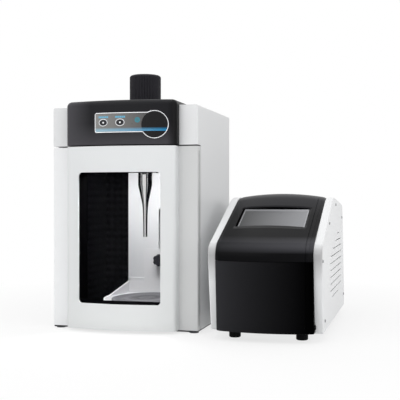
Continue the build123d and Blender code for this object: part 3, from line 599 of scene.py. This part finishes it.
def make_cap():
    """Bore, foot, ribbed wall, rounded edge and shallow dish on top, as one turned profile."""
    edge_round, foot_round, bore, roof, dish = 6.0, 1.2, 33.6, 5.5, 0.7
    edge = arc((cap_radius - edge_round, cap_top - edge_round), edge_round, 0, 90, 12)
    foot = arc((cap_radius - foot_round, cap_foot + foot_round), foot_round, -90, 0, 5)
    wall_z = np.concatenate([[cap_foot + 2.6], np.linspace(cap_foot + 3.4, cap_top - 7.5, 14)])
    outer = np.vstack([foot, np.stack([np.full_like(wall_z, cap_radius), wall_z], axis=-1), edge])
    inside = np.array([[bore, cap_foot], [bore, cap_top - roof], [0, cap_top - roof]])[::-1]
    top = np.array([[cap_radius - 14, cap_top], [cap_radius - 15, cap_top - dish], [0, cap_top - dish]])
    profile = np.vstack([inside, outer, top])
    height = profile[:, 1]
    waist = np.clip((height - cap_foot) / 22.0, 0, 1)
    profile[:, 0] -= 1.2 * waist * (3 - 2 * waist) * waist * (profile[:, 0] > bore + 0.4)
    mask = np.clip((height - cap_foot - 3.0) / 1.5, 0, 1) * np.clip((cap_top - 2.5 - height) / 3.0, 0, 1)
    mask *= profile[:, 0] > cap_radius - 5
    return revolve("cap_ribbed", profile[:, 0], height, (horn_x, horn_y),
                   steps=480, ribs=60, rib_depth=1.7, rib_mask=mask)


keep(harden(make_cap(), 40), "cap", knob_plastic, "black_knob", "fluted_cap")

# %% [markdown]
# The horn is one turned bar of titanium alloy: a thick shaft, a cone, and a slender taper that
# ends in a flat tip. Straight lines between a few points would show corners, so the profile
# follows a smooth curve through its radii.

# %% Horn
horn_low, horn_high = corners("horn")


def make_horn():
    """Shaft, rounded shoulder, cone, then a taper whose radius falls off exponentially."""
    top, tip = horn_high[2] / MM, horn_low[2] / MM
    shaft, cone_end, shoulder, throat, slim, bevel = 18.0, 300.0, 337.0, 8.5, 5.0, 0.6
    drop = np.linspace(cone_end, tip, 40)
    swell = (throat - slim) * np.exp(-(cone_end - drop) / 16.0)
    slender = slim + swell + 0.9 * (drop - tip) / (cone_end - tip)
    upper = [[0, top], [shaft - bevel, top], [shaft, top - bevel], [shaft, 400.0], [shaft, 370.0]]
    cone = [[shaft, shoulder + 1.5], [shaft - 0.3, shoulder], [throat + 1.9, cone_end + 5.0]]
    profile = np.vstack([upper, cone, np.stack([slender, drop], axis=-1), [[slim - bevel, tip], [0, tip]]])
    return revolve("horn_turned", profile[:, 0], profile[:, 1], (horn_x, horn_y), 96)


keep(harden(make_horn(), 30), "converter", horn_polish, "horn_alloy", "horn")

# %% [markdown]
# The chamber is lined with egg-crate foam. Its waves could be a bump map, but they show at the
# window's edge, so they are real: each sheet is a height field of crossed cosines over a slab.

# %% Foam sheets
foam_depth, foam_pitch, foam_swell, foam_step = 14.0, 26.0, 5.0, 3.2


def wave_sheet(name, origin, along, up, out):
    """A slab whose face is raised by crossed cosines; along, up and out are vectors in millimetres."""
    origin, along, up, out = (np.array(v, float) for v in (origin, along, up, out))
    width, height = np.linalg.norm(along), np.linalg.norm(up)
    u = np.linspace(0, 1, int(width / foam_step) + 2)
    v = np.linspace(0, 1, int(height / foam_step) + 2)
    a, b = np.meshgrid(u * width, v * height, indexing="ij")
    wave = (np.cos(2 * np.pi * (a + b) / foam_pitch / 1.41)
            * np.cos(2 * np.pi * (a - b) / foam_pitch / 1.41))
    rise = np.pad(foam_depth - foam_swell + foam_swell * wave, 1)
    u, v = np.pad(u, 1, mode="edge"), np.pad(v, 1, mode="edge")
    points = origin + u[:, None, None] * along + v[None, :, None] * up + rise[..., None] * out
    obj = surface(name, at(points[..., 0], points[..., 1], points[..., 2]))
    work = bmesh.new()
    work.from_mesh(obj.data)
    bmesh.ops.holes_fill(work, edges=[edge for edge in work.edges if edge.is_boundary])
    bmesh.ops.recalc_face_normals(work, faces=work.faces)
    work.to_mesh(obj.data)
    work.free()
    return obj


def join(first, *others):
    """Several meshes made one object, under the first one's name."""
    work = bmesh.new()
    for obj in (first, *others):
        work.from_mesh(obj.data)
    work.to_mesh(first.data)
    work.free()
    for obj in others:
        bpy.data.objects.remove(obj)
    return first


def make_foam(side):
    """The sheet on one side wall and its return along the back; side is -1 left, 1 right."""
    name = "foam_left" if side < 0 else "foam_right"
    low, high = (v - corner for v in corners(name))
    (x0, y0, z0), (x1, y1, z1) = low / MM, high / MM
    wall_x, panel_x = (x0, x1) if side < 0 else (x1, x0)
    tuck, up = 3, (0, 0, z1 - z0)
    wall = wave_sheet(name + "_wall", (wall_x, y0, z0), (0, y1 - y0, 0), up, (-side, 0, 0))
    rear = wave_sheet(name + "_rear", (wall_x - side * tuck, y1, z0),
                      (panel_x - wall_x + side * tuck, 0, 0), up, (0, -1, 0))
    return keep(join(wall, rear), "enclosure", foam_black, "foam", name)


make_foam(-1)
make_foam(1)

# %% [markdown]
# The solid guide panel ends above the stage, and a gap would show under it. The panel could be
# made longer, but a thin folded foot closes the view and leaves the solid as it is.

# %% Guide panel's foot
def make_guide_foot():
    """The folded foot of the guide panel, which closes the view under it behind the stage."""
    low, high = (v - corner for v in corners("guide_panel"))
    across = np.linspace(low[0] / MM, high[0] / MM, 24)[:, None]
    hem = 72.0
    down = np.array([low[2] / MM + 0.5, low[2] / MM - 2.0, hem + 8.0, hem + 0.5, hem])[None, :]
    back = np.array([0.0, 0.0, 0.0, 0.4, 3.0])[None, :] + 0 * across
    foot = surface("guide_foot", at(across + 0 * down, low[1] / MM + 0.2 + back, down + 0 * across))
    return keep(thicken(foot, 1.6 * MM), "enclosure", guide_paint, "grey_guide")


make_guide_foot()

# %% [markdown]
# The generator's black cover is one crowned moulding: it bows forward at the front, rises a few
# millimetres in the middle of the top, and turns down at its edges. Two fine grooves run inside
# its right edge. The straight strips of the solid would show as facets, so the same outline is
# carried along X as a smooth surface, with a rectangular well for the screen.

# %% Generator cover
side_low, side_high = (v - corner for v in corners("generator_side_left"))
right_low, right_high = (v - corner for v in corners("generator_side_right"))
cover_left, cover_right = side_high[0] / MM, right_low[0] / MM
middle = (cover_left + cover_right) / 2
seam = 173.5
knee, top_front, top_back, rear_y, lip_z = (-85.0, 204.0), (175.0, 312.0), 291.0, 400.0, 280.0
bottom_y, bottom_z = -70.0, 20.0
bow, rise, bevel_width, shell_wall = 14.0, 8.0, 8.0, 2.6
slant = np.arctan2(top_front[1] - knee[1], top_front[0] - knee[0])
along_slant = np.array([np.cos(slant), np.sin(slant)])
screen_half = (151.0 / 2, 98.0 / 2)
well_left, well_right, well_top, well_bottom = 4.0, 1.5, 1.5, 3.5
well_rows, well_columns = 8, 20
side_knee, side_top, screen_y = (-76.0, 201.0), (178.0, 311.0), 56.0
side_slope = (side_top[1] - side_knee[1]) / (side_top[0] - side_knee[0])
screen_centre = np.array([screen_y, side_knee[1] + (screen_y - side_knee[0]) * side_slope])


def crown(x):
    """Parabola across the cover, 1 in the middle, 0 at the bevel, falling to -0.5 at the edge."""
    inner = (cover_right - cover_left) / 2 - bevel_width
    away = np.abs(x - middle)
    return np.where(away < inner, 1 - (away / inner) ** 2, -0.5 * (away - inner) / bevel_width)


def round_corner(before, point, after, radius, count):
    """An arc tangent to both lines at a corner; every argument is an array over the stations."""
    a = before - point
    b = after - point
    a = a / np.linalg.norm(a, axis=-1, keepdims=True)
    b = b / np.linalg.norm(b, axis=-1, keepdims=True)
    half = np.arccos(np.clip((a * b).sum(-1, keepdims=True), -1, 1)) / 2
    bisector = (a + b) / np.linalg.norm(a + b, axis=-1, keepdims=True)
    centre = point + bisector * radius / np.sin(half)
    start, end = point + a * radius / np.tan(half), point + b * radius / np.tan(half)
    weight = np.linspace(0, 1, count)[:, None, None]
    sweep = np.pi - 2 * half
    ray0, ray1 = start - centre, end - centre
    return centre + (np.sin((1 - weight) * sweep) * ray0 + np.sin(weight * sweep) * ray1) / np.sin(sweep)


def line(start, end, count):
    """Evenly spaced points between two rows, without the ends."""
    weight = np.linspace(0, 1, count + 2)[1:-1, None, None]
    return start + weight * (end - start)


def pair(y, z):
    """Points (y, z) over all stations."""
    return np.stack(np.broadcast_arrays(y, z), axis=-1).astype(float)


def cover_rows(c):
    """The cover's outline at each station, from the seam over the knee and top to the rear lip."""
    bottom = pair(bottom_y - bow * c, bottom_z + 0 * c)
    knee_point = pair(knee[0] - bow * c, knee[1] + 0 * c)
    front_top = pair(top_front[0] + 0 * c, top_front[1] + rise * c)
    back_top = pair(rear_y + 0 * c, top_back + rise * c)
    lip = pair(rear_y + 0 * c, lip_z + 0 * c)
    share = (seam + 0.5 - bottom_z) / (knee[1] - bottom_z)
    start = bottom + (knee_point - bottom) * share
    knee_arc = round_corner(bottom, knee_point, front_top, 36.0, 18)
    top_arc = round_corner(knee_point, front_top, back_top, 130.0, 14)
    back_arc = round_corner(front_top, back_top, lip, 6.0, 8)
    reach = ((knee_arc[-1] - screen_centre) * along_slant).sum(-1, keepdims=True)
    foot = knee_arc[-1] - reach * along_slant
    well_low = foot - (screen_half[1] + well_bottom) * along_slant
    well_high = foot + (screen_half[1] + well_top) * along_slant
    rows = [start[None], line(start, knee_arc[0], 4), knee_arc, line(knee_arc[-1], well_low, 5),
            well_low[None], line(well_low, well_high, well_rows), well_high[None],
            line(well_high, top_arc[0], 4), top_arc, line(top_arc[-1], back_arc[0], 8), back_arc, lip[None]]
    first = sum(len(r) for r in rows[:4])
    return np.concatenate(rows), first, first + well_rows + 1


def front_rows(c):
    """The lower front panel's outline, from its turned-in bottom edge to a lip behind the seam."""
    fold, foot_round, panel_height = 40.0, 4.0, 150.0
    bottom = pair(bottom_y - bow * c, bottom_z + 0 * c)
    knee_point = pair(knee[0] - bow * c, knee[1] + 0 * c)
    top = bottom + (knee_point - bottom) * (seam - 0.5 - bottom_z) / (knee[1] - bottom_z)
    inner = pair(bottom[:, 0] + fold, bottom[:, 1])
    rounded = bottom + foot_round * (top - bottom) / panel_height
    return np.concatenate([inner[None], round_corner(inner, bottom, top, foot_round, 6),
                           line(rounded, top, 10), top[None],
                           (top + [3.6, 0])[None], (top + [3.2, 9.0])[None]])


def inset_rows(rows, depth):
    """Moves an outline inwards, square to its own direction, by a depth for each station."""
    ahead = np.gradient(rows, axis=0)
    ahead /= np.linalg.norm(ahead, axis=-1, keepdims=True)
    inward = np.stack([ahead[..., 1], -ahead[..., 0]], axis=-1)
    return rows + inward * depth[None, :, None]


def stations():
    """X of each column and how deep it lies: both edges, with two grooves inside the right one."""
    edge = np.array([0.0, 0.0, 0.5, 3.0, 7.0, 7.6, 8.6, 9.2, 14.2, 14.8, 16.0, 16.6])
    depth = np.array([20.0, 0.7, 0.0, 0.0, 0.0, 0.7, 0.7, 0.0, 0.0, 1.2, 1.2, 0.0])
    plain = np.where(edge > 3, 0.0, depth)
    margin = 18
    first, last = middle - screen_half[0] - well_left, middle + screen_half[0] + well_right
    face = np.concatenate([np.linspace(cover_left + margin, first, 3),
                           np.linspace(first, last, well_columns + 2)[1:-1],
                           np.linspace(last, cover_right - margin, 3)])
    x = np.concatenate([cover_left + edge, face, cover_right - edge[::-1]])
    hole = len(edge) + 2
    return x, np.concatenate([plain, 0 * face, depth[::-1]]), hole, hole + well_columns + 1


def panel_from(name, rows, x, depth, hole=None):
    """Surface over the outlines of all stations; hole names the rows and columns of an opening."""
    rows = inset_rows(rows, depth)
    points = at(x[None, :], rows[..., 0], rows[..., 1])
    obj = surface(name, points)
    if hole:
        (r0, r1), (c0, c1) = hole
        crown_room = np.array([0.0, 0.0, 0.012])
        low, high = np.sort([points[r0, c0], points[r1, c1]], axis=0)
        low, high = low - crown_room, high + crown_room
        work = bmesh.new()
        work.from_mesh(obj.data)
        inside = [face for face in work.faces
                  if all(a < c < b for a, c, b in zip(low, face.calc_center_median(), high))]
        bmesh.ops.delete(work, geom=inside, context="FACES")
        work.to_mesh(obj.data)
        work.free()
    return points, obj


x, depth, hole_left, hole_right = stations()
rows, hole_low, hole_high = cover_rows(crown(x))
cover_points, cover = panel_from("cover_shell", rows, x, depth,
                                 ((hole_low, hole_high), (hole_left, hole_right)))
keep(harden(thicken(cover, shell_wall * MM), 40), "generator", cover_black_painted_highlight, "gloss_black", "generator_cover")
_, front = panel_from("front_shell", front_rows(crown(x)), x, depth)
keep(harden(thicken(front, shell_wall * MM), 40), "generator", front_black_painted_reflection, "gloss_black", "generator_front")


def make_screen_well():
    """Walls from the cover's rectangular opening straight down to the glass."""
    block = cover_points[hole_low:hole_high + 1, hole_left:hole_right + 1]
    loop = np.concatenate([block[0, :-1], block[:-1, -1], block[-1, :0:-1], block[:0:-1, 0]])
    glass_rise, rim_drop = 3.2, 0.2
    tilt = np.arctan(side_slope)
    normal = np.array([0, -np.sin(tilt), np.cos(tilt)])
    glass_top = at(middle, *(screen_centre + glass_rise * normal[1:]))
    fall = ((loop - glass_top) @ normal)[:, None] * normal
    rim, foot = loop - normal * rim_drop * MM, loop - fall
    half = screen_half[0] * MM
    foot[:, 0] = np.clip(foot[:, 0], glass_top[0] - half, glass_top[0] + half)
    return surface("screen_well", np.stack([rim, (rim + foot) / 2, foot]), wrap_v=True)


keep(harden(thicken(make_screen_well(), -1.6 * MM), 40), "generator", well_black, "gloss_black")

# %% [markdown]
# Small bright things make a studio picture believable: the silver line round the label, the
# rolled edge of the stage, the screws on the side panels. Lines could be flat stripes in a
# material, but a thin bead catches the light along its length.

# %% Label rim, stage edge and screws
bow_radius, bow_depth, front_centre = 486.0, 43.0, 176.3


def bow_y(x):
    """How far back the hood's bowed face lies at x."""
    return bow_radius - bow_depth - np.sqrt(bow_radius ** 2 - (x - front_centre) ** 2)


def make_label_rim():
    """A closed bead that follows the key-shaped label over the bowed hood."""
    low, high, left, r = 457.0, 500.5, label_left, 4.0
    upper_end, lower_end, lift = 245.0, 235.0, 0.9
    disc, reach = (disc_x, disc_z), 30.8
    top_turn = np.degrees(np.arcsin((high - disc[1]) / reach))
    low_turn = np.degrees(np.arcsin((low - disc[1]) / reach))
    flat = np.vstack([arc((left + r, high - r), r, 180, 90, 6),
                      np.stack([np.linspace(left + r, upper_end, 24)[1:], np.full(23, high)], axis=-1),
                      arc(disc, reach, 180 - top_turn, -180 - low_turn, 60),
                      np.stack([np.linspace(lower_end, left + r, 24)[:-1], np.full(23, low)], axis=-1),
                      arc((left + r, low + r), r, 270, 180, 6)])
    return tube("label_rim", at(flat[:, 0], bow_y(flat[:, 0]) - lift, flat[:, 1]), 1.0 * MM, closed=True)


keep(make_label_rim(), "enclosure", chrome, "silver_ring")


def make_stage_edge():
    """A white rolled bead on the stage's lip: half an ellipse, then straight up both sides."""
    low, high = (v - corner for v in corners("stage"))
    inset, widest, rim_z, back_half, back_z = 1.7, 185.0, 56.2, 90.2, 84.4
    half, front, back = (high[0] - low[0]) / 2 / MM - inset, low[1] / MM + inset, high[1] / MM - 2.0
    turn = np.linspace(np.pi, 2 * np.pi, 90)
    nose = np.stack([horn_x + half * np.cos(turn), widest + (widest - front) * np.sin(turn),
                     rim_z + 0 * turn], axis=-1)
    climb = np.linspace(0, 1, 16)[1:, None]
    left = nose[0] + climb * (np.array([horn_x - back_half, back, back_z]) - nose[0])
    right = nose[-1] + climb * (np.array([horn_x + back_half, back, back_z]) - nose[-1])
    path = np.vstack([left[::-1], nose, right])
    return tube("stage_edge", at(path[:, 0], path[:, 1], path[:, 2]), 1.6 * MM)


keep(make_stage_edge(), "sample_stage", rim_white, "stage_white")


def make_screw(name, place, side, head=3.6):
    """A domed head with a cross recess: the height dips where either arm of the cross lies."""
    reach = np.linspace(0, head, 14)[:, None]
    turn = np.linspace(0, 2 * np.pi, 48, endpoint=False)[None, :]
    a, b = reach * np.cos(turn), reach * np.sin(turn)
    dome = 1.5 * np.sqrt(np.clip(1 - (reach / head) ** 2, 0, 1)) ** 0.7
    arm, arm_half, arm_reach = np.minimum(np.abs(a), np.abs(b)), 0.55, 0.62
    recess = 0.8 * (arm < arm_half) * (reach < head * arm_reach)
    height = dome - recess + 0 * turn
    x, y, z = place
    top = at(x + side * height, y + a, z + b)
    base = at(x - side * 0.5 + 0 * turn, y + a[-1:], z + b[-1:])
    return surface(name, np.concatenate([top, base]), wrap_v=True)


screw_places = [(-12, 42), (-54, 174), (82, 250), (227, 291), (387, 256), (440, 50)]
for side, label in ((-1, "left"), (1, "right")):
    face = (side_low if side < 0 else right_high)[0] / MM
    for i, (y, z) in enumerate(screw_places):
        screw = make_screw(f"side_screw_{label}_{i}", (face, y, z), side)
        keep(harden(screw), "generator", screw_steel, "steel")

# %% [markdown]
# A fan that blows out at the back needs a finger guard. A pierced plate would do, but bent wire
# is usual: rings on two cross wires, joined into one piece.

# %% Fan guard
fan_low, fan_high = (v - corner for v in corners("fan_frame"))


def make_guard():
    """Four wire rings and two cross wires on the outside of the rear panel."""
    centre = (fan_low + fan_high) / 2 / MM
    out, bar_half, bar_drop = rear_y + shell_wall, 46, 1.2
    wires = []
    for i, reach in enumerate((12.0, 21.0, 30.0, 38.0)):
        turn = np.linspace(0, 2 * np.pi, 64, endpoint=False)
        path = at(centre[0] + reach * np.cos(turn), out, centre[2] + reach * np.sin(turn))
        wires.append(tube(f"guard_{i}", path, 0.8 * MM, closed=True))
    for i, turn in enumerate((45, 135)):
        run = np.linspace(-bar_half, bar_half, 12)
        path = at(centre[0] + run * np.cos(radians(turn)), out - bar_drop,
                  centre[2] + run * np.sin(radians(turn)))
        wires.append(tube(f"guard_bar_{i}", path, 1.0 * MM))
    guard = join(*wires)
    guard.name = "fan_guard"
    return guard


keep(make_guard(), "generator", chrome, "steel")

# %% [markdown]
# The door closes on a soft strip. It could ride on either body: the strip sits on the cabinet,
# clear of the frame that swings past it, and near the edge it shows in the gap as a dark line, partly
# painted shade. A second thin dark bead rides on the door's free edge: painted shadow in the gap.

# %% Door seal and painted gap shadow
enclosure_right = enclosure_high[0] / MM - corner[0] / MM


def make_door_seal():
    """A soft black strip on the cabinet's front edge that closes the seam behind the door.
    Set near the outer edge, it also shows in the gap as a dark line: partly painted shade.
    """
    low, high, left, right = 12.0, 420.0, 11.0, enclosure_right - 1.8
    seal_y, r = 26.6, 8.0
    flat = np.vstack([arc((left + r, high - r), r, 180, 90, 8), arc((right - r, high - r), r, 90, 0, 8),
                      arc((right - r, low + r), r, 0, -90, 8), arc((left + r, low + r), r, 270, 180, 8)])
    return tube("door_seal", at(flat[:, 0], seal_y, flat[:, 1]), 1.3 * MM, closed=True)


keep(make_door_seal(), "enclosure", rubber_black, "gasket")


def make_gap_shadow_bead():
    """A thin dark bead down the door's free edge, bent inwards over its upper corner: painted shadow in the
    gap.
    """
    edge_x, edge_y, low, high, r = enclosure_right - 0.4, 11.0, 16.0, 421.0, 7.0
    straight = np.stack([np.full(20, edge_x), np.linspace(low, high - r - 1, 20)], axis=-1)
    flat = np.vstack([straight, arc((edge_x - r, high - r), r, 0, 80, 8)])
    return tube("gap_shadow_bead", at(flat[:, 0], edge_y, flat[:, 1]), 0.9 * MM)


# The dark bead is painted shadow for the gap beside the door.
keep(make_gap_shadow_bead(), "door", rubber_black, "gasket")

# %% [markdown]
# A pale floor and soft light. The background could be lit until it burns out, but then the white
# units would burn out too. Instead the floor and the world are white only to the camera and to
# reflections, and the lamps stay at a level where white paint keeps its tone.

# %% Floor, world and lamps
def make_floor():
    """A wide plane, a little darker near the set, that glows white to the camera."""
    half, glow_x, glow_y, glow_reach = 30.0, 320.0, 186.0, 1100.0
    plane = bpy.data.meshes.new("floor")
    square = [(-half, -half, 0), (half, -half, 0), (half, half, 0), (-half, half, 0)]
    plane.from_pydata(square, [], [(0, 1, 2, 3)])
    obj = bpy.data.objects.new("floor", plane)
    bpy.context.collection.objects.link(obj)
    shade = Shade("floor_white", Roughness=0.9, Base_Color=(0.86, 0.86, 0.86))
    rays = shade.tree.nodes.new("ShaderNodeLightPath")
    seen = Value(shade, rays.outputs["Is Camera Ray"]) + Value(shade, rays.outputs["Is Glossy Ray"])
    x, y, z = shade.axes()
    away = ((x - glow_x).power(2.0) + (y - glow_y).power(2.0)).power(0.5) / glow_reach
    near = shade.node("ShaderNodeMapRange", {}, {"Value": away, "From Min": 0.25, "From Max": 1.0,
                                                 "To Min": 0.72, "To Max": 1.0})
    glow = shade.node("ShaderNodeEmission", {}, {"Color": (1.0, 1.0, 1.0), "Strength": 1.0})
    lit = Value(shade, shade.shader.outputs[0])
    mix = shade.node("ShaderNodeMixShader", {}, {0: seen * near, 1: lit, 2: glow})
    shade.put(shade.tree.nodes["Material Output"].inputs["Surface"], mix)
    dress(obj, shade.material)


make_floor()
world = bpy.data.worlds.new("world")
bpy.context.scene.world = world
world.use_nodes = True
tree = world.node_tree
rays = tree.nodes.new("ShaderNodeLightPath")
strength = tree.nodes.new("ShaderNodeMapRange")
both = tree.nodes.new("ShaderNodeMath")
both.operation = "MAXIMUM"
tree.links.new(rays.outputs["Is Camera Ray"], both.inputs[0])
tree.links.new(rays.outputs["Is Glossy Ray"], both.inputs[1])
tree.links.new(both.outputs[0], strength.inputs["Value"])
strength.inputs["To Min"].default_value = 0.56
strength.inputs["To Max"].default_value = 1.0
tree.links.new(strength.outputs["Result"], tree.nodes["Background"].inputs["Strength"])
tree.nodes["Background"].inputs["Color"].default_value = (1, 1, 1, 1)


def lamp(name, place, target, size, power):
    """A rectangular lamp that looks from one place to another; size in metres, power in watts."""
    light = bpy.data.lights.new(name, "AREA")
    light.shape, light.size, light.size_y, light.energy = "RECTANGLE", size[0], size[1], power
    obj = bpy.data.objects.new(name, light)
    bpy.context.collection.objects.link(obj)
    place, target = at(*place), at(*target)
    obj.location = place
    obj.rotation_euler = Vector(target - place).to_track_quat("-Z", "Y").to_euler()
    return obj


lamp("key", (-900, -2400, 1900), (250, 0, 250), (2.4, 2.4), 22)
lamp("fill", (2300, -1200, 1000), (350, 100, 200), (2.0, 2.0), 13)
lamp("top", (300, -250, 2000), (300, 100, 0), (2.6, 1.2), 16)
lamp("chamber", (177, 110, 414), (177, 120, 0), (0.2, 0.10), 2.0)

bpy.context.scene.view_settings.view_transform = "Standard"
